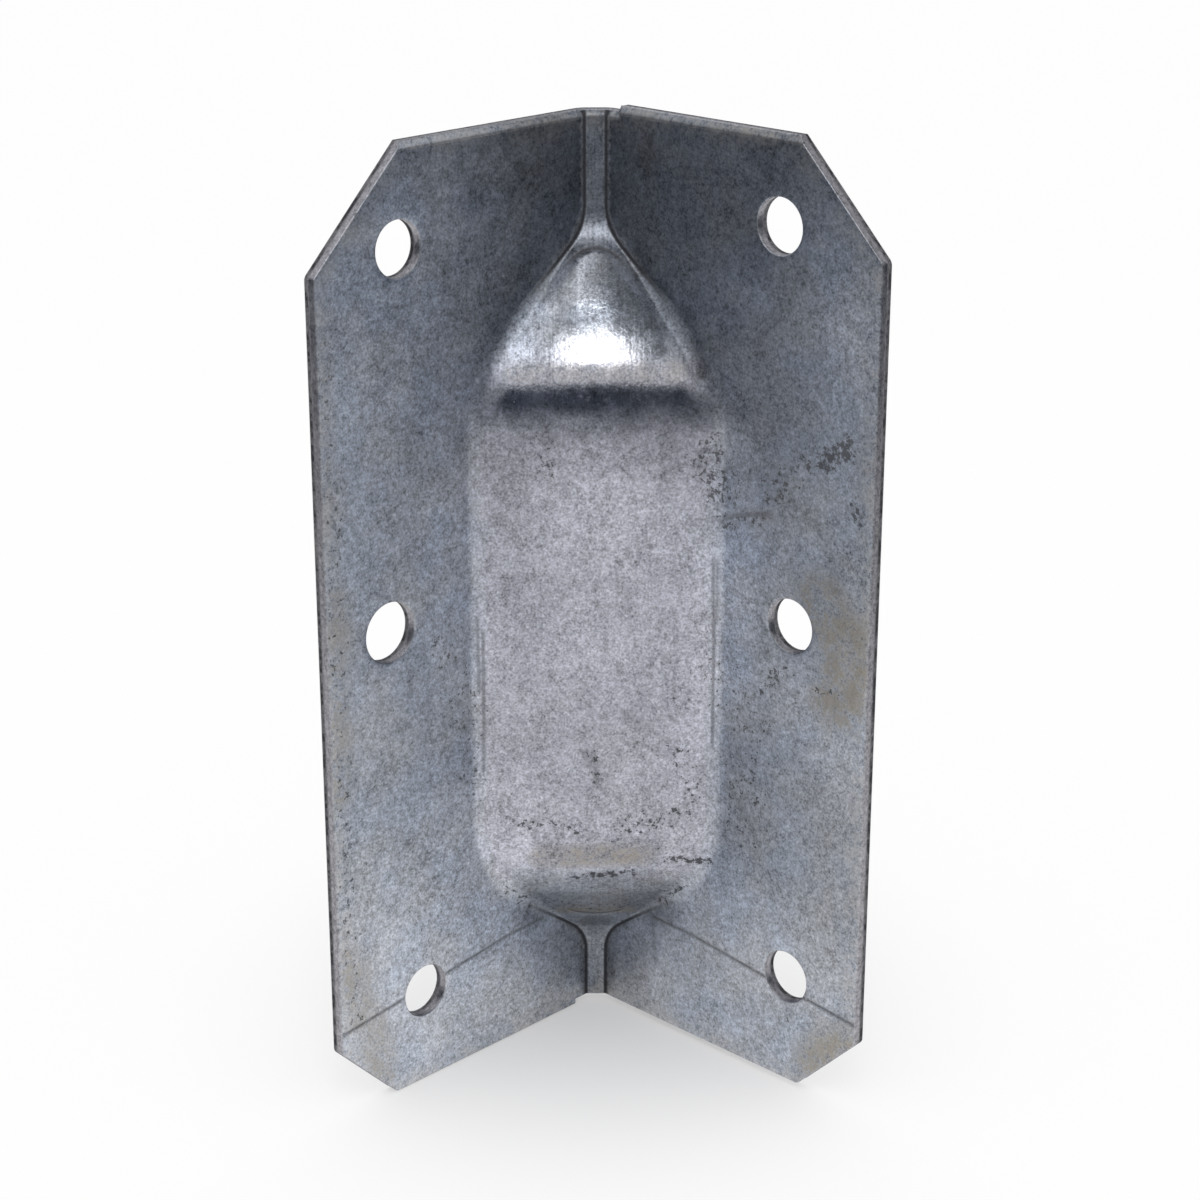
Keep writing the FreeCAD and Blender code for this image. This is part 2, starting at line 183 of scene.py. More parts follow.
# %% Reflection cards
def reflection_card(name, rings, sides=64):
    """A surface of revolution, from rings (radius, height), that only reflections can see."""
    turns = [2 * math.pi * i / sides for i in range(sides)]
    corners = [(r * math.cos(a), r * math.sin(a), z) for r, z in rings for a in turns]
    faces = []
    for k in range(len(rings) - 1):
        for i in range(sides):
            n = (i + 1) % sides
            faces.append((k * sides + i, k * sides + n, (k + 1) * sides + n, (k + 1) * sides + i))
    mesh = bpy.data.meshes.new(name)
    mesh.from_pydata(corners, [], faces)
    card = bpy.data.objects.new(name, mesh)
    bpy.context.scene.collection.objects.link(card)
    for ray in ("camera", "diffuse", "transmission", "volume_scatter", "shadow"):
        setattr(card, "visible_" + ray, False)
    return mesh


def card_paint(mesh, name, tint):
    """Give a card a glowing paint; returns its tree, the place on the card and its strength socket."""
    paint, tree, output = empty_material(name)
    where = put(tree, "ShaderNodeTexCoord").outputs["Object"]
    glow = put(tree, "ShaderNodeEmission", {"Color": tint})
    tree.links.new(glow.outputs[0], output.inputs["Surface"])
    mesh.materials.append(paint)
    return tree, where, glow.inputs["Strength"]


ring_radius, ring_height = 0.19, 0.138
ring_blue = (0.60, 0.74, 1.0, 1)
ring_mesh = reflection_card("dark_ring", [(ring_radius, 0.0), (ring_radius, ring_height)])
tree, where, strength = card_paint(ring_mesh, "dark_ring_paint", ring_blue)
above_floor = put(tree, "ShaderNodeSeparateXYZ", {0: where}).outputs["Z"]
tree.links.new(fade(tree, above_floor, 0.0, 0.055, 0.19, 0.07), strength)
dome_radius = 0.60
dome_slopes = np.linspace(0, 1.56, 14)
dome_rings = [(dome_radius * math.cos(a), dome_radius * math.sin(a)) for a in dome_slopes]
dome_mesh = reflection_card("dim_dome", dome_rings)
print("cards:", len(ring_mesh.polygons), "and", len(dome_mesh.polygons), "faces")

# %% Dome paint
room_grey = (0.95, 0.97, 1.0, 1)
left_way = (0.707, -0.707, 0)
tree, where, strength = card_paint(dome_mesh, "dim_dome_paint", room_grey)
above_floor = put(tree, "ShaderNodeSeparateXYZ", {0: where}).outputs["Z"]
to_left = put(tree, "ShaderNodeVectorMath", {0: where, 1: left_way}, operation="DOT_PRODUCT")
wall = fade(tree, above_floor, 0.12, 0.18, 0.10, 0.90)
ceiling = fade(tree, to_left.outputs["Value"], -0.15, 0.10, 0.24, 0.88)
upward = fade(tree, above_floor, 0.40, 0.50)
level = put(tree, "ShaderNodeMix", {0: upward, 2: wall, 3: ceiling}).outputs[0]
tree.links.new(level, strength)
print("dome painted")

# %% Soft lamp
lamp_place = Vector((0.1865, 0.1926, 0.3692))
lamp_aim = Vector((0.007, 0.007, 0.064))
lamp = bpy.data.lights.new("slope_lamp", "AREA")
lamp.shape = "RECTANGLE"
lamp.size = 0.075
lamp.size_y = 0.145
lamp.energy = 0.155
slope_lamp = bpy.data.objects.new("slope_lamp", lamp)
slope_lamp.location = lamp_place
slope_lamp.rotation_mode = "QUATERNION"
slope_lamp.rotation_quaternion = (lamp_aim - lamp_place).to_track_quat("-Z", "Y")
bpy.context.scene.collection.objects.link(slope_lamp)
print("lamp of", lamp.energy, "W")

# %% [markdown]
# ## Sizes of the sheet
# The visual sheet repeats the CAD part's own sizes, in millimetres here and scaled to metres
# at the end. The heel line is the Z axis: one leg lies along X, the other along Y. A point in
# the bend is given by p, its distance from the heel line along the line that halves the fold,
# and by q, its distance to the side of that line.

# %% Sheet sizes
sheet = 1.21
leg = 31.75
lower_cut, upper_cut = 0.45, 82.10
lowest, highest = 0.0, 82.55
step_reach = 3.8
root_p = 2.5676
lower_foot, upper_foot = 5.05, 74.3
rise = 9.28
ramp = math.radians(42)
foot_radius = 5.0
shoulder_radius = 13.0
edge_round = 0.12
roll_radius = 0.75
print("panel stands", round(root_p + rise, 2), "mm from the heel line")

# %% [markdown]
# ## The gusset's long profile
# On the plane that halves the fold the gusset is one smooth line: bend, foot radius, ramp,
# shoulder radius, flat panel, and the same back again. It could be drawn as a Bezier curve,
# but straight runs and true arcs give an exact direction at every point, which the thickness
# of the sheet needs later. Stations crowd together where the top edge will be rolled over.

# %% Stations along the profile
def lower_half():
    """Stations (p, z, tilt of the face) from the lower cut up to the middle of the panel."""
    stations = [(root_p, z, 0.0) for z in np.linspace(lower_cut + edge_round, lower_foot, 15)[:-1]]
    for a in np.linspace(0, ramp, 28)[:-1]:
        p = root_p + foot_radius * (1 - math.cos(a))
        stations.append((p, lower_foot + foot_radius * math.sin(a), -a))
    ramp_p = root_p + foot_radius * (1 - math.cos(ramp))
    ramp_z = lower_foot + foot_radius * math.sin(ramp)
    top_p = root_p + rise - shoulder_radius * (1 - math.cos(ramp))
    top_z = ramp_z + (top_p - ramp_p) / math.tan(ramp)
    for t in np.linspace(0, 1, 44)[:-1] ** 1.4:
        stations.append((ramp_p + t * (top_p - ramp_p), ramp_z + t * (top_z - ramp_z), -ramp))
    panel_z = top_z + shoulder_radius * math.sin(ramp)
    for a in np.linspace(ramp, 0, 36)[:-1]:
        p = root_p + rise - shoulder_radius * (1 - math.cos(a))
        stations.append((p, panel_z - shoulder_radius * math.sin(a), -a))
    middle = (lower_foot + upper_foot) / 2
    stations += [(root_p + rise, z, 0.0) for z in np.linspace(panel_z, middle, 38)]
    return stations


rising = lower_half()
straight_stations = 14
roll_zone = 1.2
mirror = lower_foot + upper_foot
falling = [(p, mirror - z, -tilt) for p, z, tilt in reversed(rising[straight_stations:-1])]
falling += [(root_p, z, 0.0) for z in np.linspace(upper_foot, upper_cut - roll_zone, 18)[1:]]
roll_steps = (0.95, 0.75, 0.60, 0.46, 0.34, 0.25, 0.18, edge_round)
falling += [(root_p, upper_cut - below, 0.0) for below in roll_steps]
profile = np.array(rising + falling)
rows = len(profile)
print(rows, "stations, from z", round(profile[0, 1], 2), "to", round(profile[-1, 1], 2))

# %% [markdown]
# ## Creases and panel as one grid
# Across each station runs a row: a crease arc, the straight panel, and the other crease arc.
# The crease is the path of a small ball that rolls along both the panel and the leg, so its
# arc lies between the two face directions. Near the bend the tool pressed it sharper. On the
# upper slope the metal stretched into a slight pillow, which shapes the bright patch there.

# %% Rows across the gusset
across_p = np.array([1, 1, 0]) / math.sqrt(2)
across_q = np.array([1, -1, 0]) / math.sqrt(2)
up = np.array([0, 0, 1.0])
x_face, y_face = np.array([0, 1.0, 0]), np.array([1.0, 0, 0])
crease_parts, panel_parts = 12, 40


def smooth(value, low, high):
    """0 below the low limit, 1 above the high one, and a smooth ramp between."""
    t = np.clip((value - low) / (high - low), 0, 1)
    return t * t * (3 - 2 * t)


def crease_radius(p):
    """Radius of the crease on the inside, sharper where the bend is narrow."""
    return 0.40 + 1.80 * smooth(p, 4.0, 10.0)


def pillow_share(p, z):
    """Swell of the upper slope as a share of its width, most where the slope is narrow."""
    return (0.10 - 0.070 * smooth(p, 4.5, 9.5)) * smooth(p, 2.8, 4.6) * smooth(z, 44, 58)


def turn_between(first, second, t):
    """Direction part of the way from one unit vector to another."""
    angle = math.acos(np.clip(first @ second, -1, 1))
    return (math.sin((1 - t) * angle) * first + math.sin(t * angle) * second) / math.sin(angle)


def crease_row(p, z, tilt, side, leg_face):
    """Points and directions of one crease, from the leg to the panel; side is +1 for the X leg."""
    face = math.cos(tilt) * across_p + math.sin(tilt) * up
    r = crease_radius(p)
    q = p + r * math.cos(tilt) - math.sqrt(2) * (sheet + r)
    ball = p * across_p + side * q * across_q + z * up + r * face
    ways = [turn_between(leg_face, face, t) for t in np.linspace(0, 1, crease_parts + 1)]
    return [(ball - r * way, way) for way in ways]


grid = []
for p, z, tilt in profile:
    x_side = crease_row(p, z, tilt, 1, x_face)
    y_side = crease_row(p, z, tilt, -1, y_face)
    (x_end, face), (y_end, _) = x_side[-1], y_side[-1]
    swell = pillow_share(p, z) * np.linalg.norm(x_end - y_end)
    middle = []
    for t in np.linspace(0, 1, panel_parts + 1)[1:-1]:
        middle.append((x_end * (1 - t) + y_end * t + face * swell * 4 * t * (1 - t), face))
    grid.append(x_side + middle + y_side[::-1])
columns = len(grid[0])
grid_points = np.array([[point for point, way in row] for row in grid])
grid_ways = np.array([[way for point, way in row] for row in grid])
print("grid of", rows, "by", columns)

# %% [markdown]
# ## Outlines of the legs
# Each leg is a flat shape with two clipped corners, a small step where the strip was cut off,
# and three punched holes. It is drawn flat in (reach, height). Every outline point carries the
# direction that points out of the metal, so that the edge can be rounded afterwards.

# %% Outline helpers
def rounded_corner(before, corner, after, radius, parts=5):
    """Points of an arc that eases a corner."""
    before, corner, after = map(np.array, (before, corner, after))
    one = (before - corner) / np.linalg.norm(before - corner)
    two = (after - corner) / np.linalg.norm(after - corner)
    half_angle = math.acos(np.clip(one @ two, -1, 1)) / 2
    reach = radius / math.tan(half_angle)
    centre = corner + (one + two) / np.linalg.norm(one + two) * radius / math.sin(half_angle)
    start, end = corner + one * reach - centre, corner + two * reach - centre
    shares = np.linspace(0, 1, parts + 1)
    return [centre + radius * turn_between(start / radius, end / radius, t) for t in shares]


def open_outline(corners, spacing):
    """Evenly spaced points along a chain of corners (reach, height, radius), with outward directions."""
    chain = [np.array(corners[0][:2])]
    for i in range(1, len(corners) - 1):
        here = corners[i]
        if here[2]:
            chain += rounded_corner(corners[i - 1][:2], here[:2], corners[i + 1][:2], here[2])
        else:
            chain.append(np.array(here[:2]))
    chain.append(np.array(corners[-1][:2]))
    points = [chain[0]]
    for a, b in zip(chain[:-1], chain[1:]):
        parts = max(1, int(np.linalg.norm(b - a) / spacing))
        points += [a + (b - a) * t for t in np.linspace(0, 1, parts + 1)[1:]]
    points = np.array(points)
    runs = np.diff(points, axis=0)
    runs /= np.linalg.norm(runs, axis=1)[:, None]
    outward = np.stack([runs[:, 1], -runs[:, 0]], axis=1)
    first, last = np.vstack([outward[:1], outward]), np.vstack([outward, outward[-1:]])
    mitre = (first + last) / (1 + np.sum(first * last, axis=1))[:, None]
    return points, mitre


print("outline helpers ready")

# %% Outlines and holes
clip_round = 0.7
edge_spacing = 0.4
x_lower_clip, x_upper_clip = 6.0, 9.75
y_lower_clip, y_upper_clip = 6.6, 8.7
step = highest - upper_cut
foot_reach = grid_points[0, 0, 0]
crown_reach = grid_points[-1, 0, 0]
x_corners = [
    (foot_reach, lower_cut, 0), (step_reach, lower_cut, 0), (step_reach, lowest, 0),
    (leg - x_lower_clip, lowest, clip_round), (leg, x_lower_clip, clip_round),
    (leg, highest - x_upper_clip, clip_round), (leg - x_upper_clip + step, upper_cut, 0),
    (crown_reach, upper_cut, 0),
]
y_corners = [
    (foot_reach, lower_cut, 0), (leg - y_lower_clip + step, lower_cut, clip_round),
    (leg, y_lower_clip, clip_round), (leg, highest - y_upper_clip, clip_round),
    (leg - y_upper_clip, highest, 0), (step_reach, highest, 0), (step_reach, upper_cut, 0),
    (crown_reach, upper_cut, 0),
]
nail_hole, wide_hole = 2.3, 2.575
x_holes = [(23.15, 73.8, nail_hole), (25.05, 42.355, wide_hole), (22.2, 8.5, nail_hole)]
y_holes = [(21.4, 75.25, nail_hole), (23.5, 42.355, nail_hole), (24.0, 10.3, nail_hole)]
x_outline = open_outline(x_corners, edge_spacing)
y_outline = open_outline(y_corners, edge_spacing)
print("outline points:", len(x_outline[0]), "and", len(y_outline[0]))

# %% [markdown]
# ## Filling the legs
# A flat shape with holes can be cut with booleans, but that leaves long thin faces that shade
# badly. Here the outline, the holes and an even field of inner points go through a Delaunay
# triangulation, which gives small, even triangles that share their points with the crease.
# A pressing tool left a thin line across the foot of each leg, and handling left scratches, so
# points crowd along those paths and along the upper edge.

# %% Paths of lines and scratches on the legs
x_tool_line = [(4.6, 10.4), (12.0, 10.2), (leg, 7.8)]
y_tool_line = [(4.6, 10.6), (13.0, 10.4), (22.0, 9.4), (leg, 8.5)]
y_drag_mark = [(15.9, 49.6), (17.3, 50.5), (21.1, 51.5)]
y_smear = [(24.8, 52.3), (27.0, 50.7), (27.9, 48.8), (28.4, 46.8)]
x_paths = [x_tool_line]
y_paths = [y_tool_line, y_drag_mark]


def path_gap(points, path):
    """Distance from each point to a broken line."""
    path = np.array(path, float)
    gap = np.full(len(points), np.inf)
    for a, b in zip(path[:-1], path[1:]):
        run = b - a
        t = np.clip((points - a) @ run / (run @ run), 0, 1)
        gap = np.minimum(gap, np.linalg.norm(points - a - t[:, None] * run, axis=1))
    return gap


def beside_path(path, spacing, offsets):
    """Rows of points along a broken line and on both sides of it."""
    path = np.array(path, float)
    points = []
    for a, b in zip(path[:-1], path[1:]):
        run = (b - a) / np.linalg.norm(b - a)
        side = np.array([-run[1], run[0]])
        parts = max(1, int(np.linalg.norm(b - a) / spacing))
        for t in np.linspace(0, 1, parts, endpoint=False):
            points += [a + (b - a) * t + side * off for off in offsets]
    return np.array(points)


print("paths:", len(x_paths), "and", len(y_paths))

# %% Fill one leg
field_spacing = 0.56
field_rows = 0.866 * field_spacing
path_spacing = 0.3
path_offsets = (-0.30, -0.13, 0.0, 0.13, 0.30)
clear_of_path, clear_of_roll, clear_of_hole = 0.50, 1.15, 0.2
clear_of_rim, clear_of_top = 0.22, 0.05
top_zone = 1.0


def inside_of(points, loop):
    """Which points lie inside a closed loop."""
    inside = np.zeros(len(points), bool)
    ends = np.roll(loop, -1, axis=0)
    for (u0, z0), (u1, z1) in zip(loop, ends):
        if z0 == z1:
            continue
        crosses = ((z0 > points[:, 1]) != (z1 > points[:, 1]))
        at = u0 + (points[:, 1] - z0) * (u1 - u0) / (z1 - z0)
        inside ^= crosses & (points[:, 0] < at)
    return inside


def hole_ring(hole, spacing=0.25):
    """Points round a hole on the flat face, with directions into the hole."""
    u, z, radius = hole
    count = int(2 * math.pi * radius / spacing)
    turn = np.linspace(0, 2 * math.pi, count, endpoint=False)
    way = -np.stack([np.cos(turn), np.sin(turn)], axis=1)
    return np.array([u, z]) - way * (radius + edge_round), way


def inner_field(loop, paths, upper_end):
    """Inner points of a leg: an even field, rows along each path, and rows under the upper edge."""
    low, high = loop.min(axis=0), loop.max(axis=0)
    field = []
    for k, z in enumerate(np.arange(low[1], high[1], field_rows)):
        shift = (k % 2) * field_spacing / 2
        field += [(u, z) for u in np.arange(low[0] + shift, high[0], field_spacing)]
    field = np.array(field)
    field = field[field[:, 1] < upper_end(field[:, 0]) - clear_of_roll]
    for path in paths:
        field = field[path_gap(field, path) > clear_of_path]
    reach = np.arange(low[0], high[0], edge_spacing)
    under_edge = [np.stack([reach, upper_end(reach) - below], axis=1) for below in roll_steps[:-1]]
    along = [beside_path(path, path_spacing, path_offsets) for path in paths]
    return np.vstack([field] + under_edge + along)


def fill_leg(outline, holes, tangent, paths, upper_end):
    """Flat points and triangles of a leg, how many lie on its crease and rim, and its hole rings."""
    points, mitre = outline
    rim = (points - edge_round * mitre)[1:-1]
    rings = [hole_ring(hole) for hole in holes]
    loop = np.vstack([tangent[:1], rim, tangent[-1:], tangent[-2:0:-1]])
    fixed = np.vstack([loop] + [ring for ring, way in rings])
    inner = inner_field(loop, paths, upper_end)
    inner = inner[inside_of(inner, loop)]
    for u, z, radius in holes:
        from_hole = np.hypot(inner[:, 0] - u, inner[:, 1] - z) - radius - edge_round
        inner = inner[from_hole > clear_of_hole]
    closed = np.vstack([loop, loop[:1]])
    from_rim = path_gap(inner, closed)
    near_top = inner[:, 1] > upper_end(inner[:, 0]) - top_zone
    inner = inner[from_rim > np.where(near_top, clear_of_top, clear_of_rim)]
    every = np.vstack([fixed, inner])
    ids, edges, start = [], [], 0
    for count in [len(loop)] + [len(ring) for ring, way in rings]:
        ids.append(np.arange(start, start + count))
        edges += [(start + i, start + (i + 1) % count) for i in range(count)]
        start += count
    found = delaunay_2d_cdt([Vector(v) for v in every], edges, [], 1, 1e-7)
    assert len(found[0]) == len(every)
    faces = np.array(list(found[2]))
    keep = np.ones(len(faces), bool)
    for ring_ids in ids[1:]:
        keep &= ~np.isin(faces, ring_ids).all(axis=1)
    return every, faces[keep], len(tangent), len(rim), ids[1:], rings


def x_upper_end(reach):
    """Height of the X leg's upper cut."""
    return np.full(np.shape(reach), upper_cut)


def y_upper_end(reach):
    """Height of the Y leg's upper cut, which steps up beyond the bend."""
    return np.where(np.asarray(reach) > step_reach, highest, upper_cut)


tangent_x = grid_points[:, 0][:, [0, 2]]
tangent_y = grid_points[:, -1][:, [1, 2]]
x_fill = fill_leg(x_outline, x_holes, tangent_x, x_paths, x_upper_end)
y_fill = fill_leg(y_outline, y_holes, tangent_y, y_paths, y_upper_end)
print("leg triangles:", len(x_fill[1]), "and", len(y_fill[1]))

# %% [markdown]
# ## One skin from three patches
# The grid and the two legs are joined into one skin, with shared points along the creases.
# Each skin point keeps the direction its face looks in, and each open edge keeps the way out
# of the metal: that is all the next steps need to give the sheet its thickness.

# %% Join the patches
skin_points = [grid_points.reshape(-1, 3)]
skin_ways = [grid_ways.reshape(-1, 3)]
skin_faces = []
for i in range(rows - 1):
    for j in range(columns - 1):
        a = i * columns + j
        skin_faces.append((a, a + 1, a + columns + 1, a + columns))
grid_count = rows * columns
hole_loops = []


def add_leg(fill, outline, column, start, place, face, out):
    """Append a leg to the skin; place and out turn flat points and directions into space."""
    flat, faces, tangent_count, rim_count, ring_ids, rings = fill
    ids = np.empty(len(flat), int)
    ids[0] = column
    ids[1 + rim_count:rim_count + tangent_count] = [i * columns + column for i in range(rows - 1, 0, -1)]
    fresh = np.setdiff1d(np.arange(len(flat)), np.r_[0, 1 + rim_count:rim_count + tangent_count])
    ids[fresh] = start + np.arange(len(fresh))
    skin_points.append(np.array([place(u, z) for u, z in flat[fresh]]))
    skin_ways.append(np.tile(face, (len(fresh), 1)))
    skin_faces.extend([tuple(ids[f]) for f in faces])
    for ring_id, (ring, way) in zip(ring_ids, rings):
        hole_loops.append((ids[ring_id], np.array([out(*w) for w in way])))
    return ids[1:1 + rim_count], np.array([out(*m) for m in outline[1][1:-1]]), start + len(fresh)


def on_x_leg(u, z):
    """A point on the front of the X leg."""
    return (u, sheet, z)


def on_y_leg(u, z):
    """A point on the front of the Y leg."""
    return (sheet, u, z)


def along_x_leg(u, z):
    """A direction within the X leg."""
    return (u, 0, z)


def along_y_leg(u, z):
    """A direction within the Y leg."""
    return (0, u, z)


x_ids, x_out, x_count = add_leg(x_fill, x_outline, 0, grid_count, on_x_leg, x_face, along_x_leg)
y_ids, y_out, skin_count = add_leg(y_fill, y_outline, columns - 1, x_count, on_y_leg, y_face, along_y_leg)
points = np.vstack(skin_points)
ways = np.vstack(skin_ways)
print("skin of", skin_count, "points and", len(skin_faces), "faces")

# %% Edge loops of the skin
lower_row = np.arange(columns)[::-1]
upper_row = (rows - 1) * columns + np.arange(columns)
outer_ids = np.concatenate([lower_row, x_ids, upper_row, y_ids[::-1]])
outer_out = np.concatenate([np.tile(-up, (columns, 1)), x_out, np.tile(up, (columns, 1)), y_out[::-1]])
edge_loops = [(outer_ids, outer_out)] + hole_loops
print(len(edge_loops), "edge loops, the longest with", len(outer_ids), "points")

# %% [markdown]
# ## Pressed lines and the rolled edge
# Real dents catch light that a painted line does not, so the tool's lines are pushed a few
# hundredths of a millimetre into the skin. Across the foot of each slope the tool's rim left
# a bowed line. Along the upper cut the blade rolled the face over in a quarter round.

# %% Sink the skin
groove_depth, groove_half = 0.04, 0.24
sink = np.zeros(skin_count)
in_y_leg = np.arange(skin_count) >= x_count
in_x_leg = (np.arange(skin_count) >= grid_count) & ~in_y_leg
side_q = points @ across_q
height = points[:, 2]


def groove(gap, half=groove_half):
    """A rounded groove: 1 on its line and 0 beyond its half width."""
    return np.clip(1 - (gap / half) ** 2, 0, 1) ** 2


tool_mark = np.zeros(skin_count)
tool_mark[in_x_leg] = groove(path_gap(points[in_x_leg][:, [0, 2]], x_tool_line))
tool_mark[in_y_leg] = groove(path_gap(points[in_y_leg][:, [1, 2]], y_tool_line))
on_grid = np.arange(skin_count) < grid_count
bow_reach, bow_half = 2.8, 0.30
upper_bow = 70.95 - 0.20 * side_q ** 2
lower_bow = 10.2 + 0.12 * side_q ** 2
for bow in (upper_bow, lower_bow):
    bowed = groove(height - bow, bow_half) * (1 - smooth(np.abs(side_q), 0.7 * bow_reach, bow_reach))
    tool_mark = np.where(on_grid, np.maximum(tool_mark, bowed), tool_mark)
sink += groove_depth * tool_mark

upper_end = np.where(in_y_leg, y_upper_end(points[:, 1]), upper_cut)
rolled_in = np.clip(1 - (upper_end - height) / roll_radius, 0, 1)
sink += roll_radius * (1 - np.sqrt(1 - rolled_in ** 2))
front_points = points - ways * sink[:, None]
back_points = points - ways * sheet
print("deepest sink:", round(float(sink.max()), 3), "mm")

# %% [markdown]
# ## Thickness and cut edges
# A Solidify modifier could thicken the skin, but the back is known exactly: each point moved
# one sheet thickness against its direction. The edge between front and back is built in rows:
# a small rounding where the blade rolled the zinc over, a wall, and a rounding at the back.
# Below the blade's clean cut the steel tore off, so those rows wander in by a few hundredths.

# %% Build the sheet
every_point = [front_points, back_points]
every_face = list(skin_faces)
every_face += [tuple(skin_count + v for v in face[::-1]) for face in skin_faces]
total = 2 * skin_count
wall_rows = 9
last = wall_rows - 1
first_flat, last_flat, first_torn = 2, last - 2, 5
tear_depth, tear_waves = 0.06, 1.3
# Depth and width of a rim's rounding, as shares of its radius, after 30 and 60 degrees of turn.
part_turned = (0.134, 0.5)
most_turned = (0.5, 0.866)


def edge_row(ids, out, k):
    """One row of the edge wall; k counts from the front, and two rows round off each rim."""
    front, way = front_points[ids], ways[ids]
    thick = sheet - sink[ids]
    if first_flat <= k <= last_flat:
        depth = edge_round + (thick - 2 * edge_round) * (k - first_flat) / (last_flat - first_flat)
        shift = Vector((0, 0, 7.0 * k))
        drift = np.array([0.5 + 0.5 * noise.noise(Vector(p) * tear_waves + shift) for p in front])
        push = edge_round - tear_depth * np.clip(drift, 0, 1) * (k > first_flat)
    else:
        deep, wide = part_turned if k in (0, last) else most_turned
        depth = edge_round * deep
        push = np.full(len(ids), edge_round * wide)
    depth = thick - depth if k > last_flat else depth
    return front + out * push[:, None] - way * np.reshape(depth, (-1, 1))


def wall_faces(one, two):
    """Faces between two closed rows of points."""
    return list(zip(one, np.roll(one, -1), np.roll(two, -1), two))


wall_shares, torn_shares = [], []
for ids, out in edge_loops:
    size = len(ids)
    previous = ids
    for k in range(wall_rows):
        every_point.append(edge_row(ids, out, k))
        wall_shares.append(np.full(size, 1.0 if first_flat <= k <= last_flat else 0.5))
        torn_shares.append(np.full(size, 1.0 if k >= first_torn else 0.0))
        current = total + np.arange(size)
        total += size
        every_face += wall_faces(previous, current)
        previous = current
    every_face += wall_faces(previous, ids + skin_count)
solid_points = np.vstack(every_point)
wall_share = np.concatenate(wall_shares)
torn_share = np.concatenate(torn_shares)
print("sheet of", len(solid_points), "points and", len(every_face), "faces")

# %% Make the mesh
sheet_mesh = bpy.data.meshes.new("pressed_sheet")
sheet_mesh.from_pydata((solid_points * mm).tolist(), [], [list(map(int, face)) for face in every_face])
work = bmesh.new()
work.from_mesh(sheet_mesh)
bmesh.ops.recalc_face_normals(work, faces=work.faces)
open_edges = sum(1 for edge in work.edges if not edge.is_manifold)
sheet_volume = work.calc_volume()
work.to_mesh(sheet_mesh)
work.free()
sheet_mesh.shade_smooth()
pressed_sheet = bpy.data.objects.new("pressed_sheet", sheet_mesh)
bpy.context.scene.collection.objects.link(pressed_sheet)
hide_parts("gusset_angle")
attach(pressed_sheet, "root")
triangles = sum(len(face) - 2 for face in every_face)
print("open edges:", open_edges, "triangles:", triangles, "volume in mm3:", round(sheet_volume / mm ** 3, 1))

# %% [markdown]
# ## Marks as point attributes
# Wear belongs to places: dark grime and painted shade in the creases, specks where something
# rubbed, brown stains by the edges, metal polished by the tool on the slopes. Some marks paint
# light as well: shade on parts of the gusset, a beige reflection band across the upper shoulder
# and bright streaks on the upper slope. Each is worked out here as a number per point, from
# distances to a few paths and spots, and stored on the mesh, where the material can read it.
# Painting by hand would work too, but numbers are easy to change.

# %% Paths in space and soft spots
def on_gusset(q, z):
    """A point on the front of the gusset."""
    p = np.interp(z, profile[:, 1], profile[:, 0])
    return tuple(p * across_p + q * across_q + z * up)


def x_leg_path(*path):
    """A path on the X leg, from pairs of reach and height."""
    return [on_x_leg(u, z) for u, z in path]


def y_leg_path(*path):
    """A path on the Y leg, from pairs of reach and height."""
    return [on_y_leg(u, z) for u, z in path]


def gusset_path(*path):
    """A path on the gusset, from pairs of sideways distance and height."""
    return [on_gusset(q, z) for q, z in path]


def rubbed(spots):
    """How much each skin point belongs to soft strokes, each (path in space, half width, strength)."""
    amount = np.zeros(skin_count)
    for path, half, strength in spots:
        amount = np.maximum(amount, strength * (1 - smooth(path_gap(points, path), 0.3 * half, half)))
    return amount


print("spots are measured on", skin_count, "points")

# %% Specks, stains and lines, with a painted reflection band and painted crease shade among them
speck_spots = [
    (y_leg_path((14.6, 55.6), (16.2, 52.6)), 3.2, 0.8),
    (y_leg_path((21.0, 53.2), (22.6, 54.6), (24.4, 56.2)), 2.4, 0.75),
    (y_leg_path((26.6, 57.2), (28.8, 58.6)), 1.8, 1.1),
    (y_leg_path((29.6, 54.5), (30.6, 52.6)), 1.0, 0.8),
    (y_leg_path((16.2, 49.9), (20.2, 51.0)), 1.4, 0.8),
    (y_leg_path((20.4, 35.9), (23.4, 38.6)), 1.3, 0.8),
    (y_leg_path((26.2, 37.5), (28.5, 38.0)), 0.8, 0.9),
    (y_leg_path((15.8, 36.0), (19.5, 33.0), (18.8, 22.6)), 4.5, 0.5),
    (x_leg_path((19.7, 39.3), (17.0, 35.0), (16.8, 26.0)), 3.0, 0.5),
    (x_leg_path((30.4, 70.0), (30.8, 30.0), (30.0, 9.0)), 1.8, 0.5),
    (gusset_path((6.6, 22.2), (4.4, 21.9), (1.4, 21.4)), 1.1, 0.8),
    (gusset_path((-2.0, 21.6), (-7.0, 22.6)), 1.8, 0.7),
    (gusset_path((-6.0, 18.4), (-9.0, 18.2)), 0.7, 1.1),
    (gusset_path((-9.8, 18.4), (-10.1, 16.8)), 0.9, 0.9),
    (gusset_path((1.8, 16.3), (-3.2, 16.8)), 0.7, 1.1),
    (gusset_path((-7.0, 28.8), (-8.4, 24.0)), 1.8, 0.6),
    (gusset_path((0.5, 28.6), (-0.1, 26.0)), 1.0, 0.75),
    (gusset_path((4.1, 56.4), (4.2, 54.0)), 1.4, 0.75),
    (gusset_path((8.0, 15.0), (6.2, 12.6)), 1.2, 0.7),
    (gusset_path((-7.5, 15.5), (-6.0, 12.6)), 1.2, 0.7),
    (gusset_path((4.0, 12.6), (0.0, 11.2), (-4.0, 12.6)), 1.6, 0.6),
]
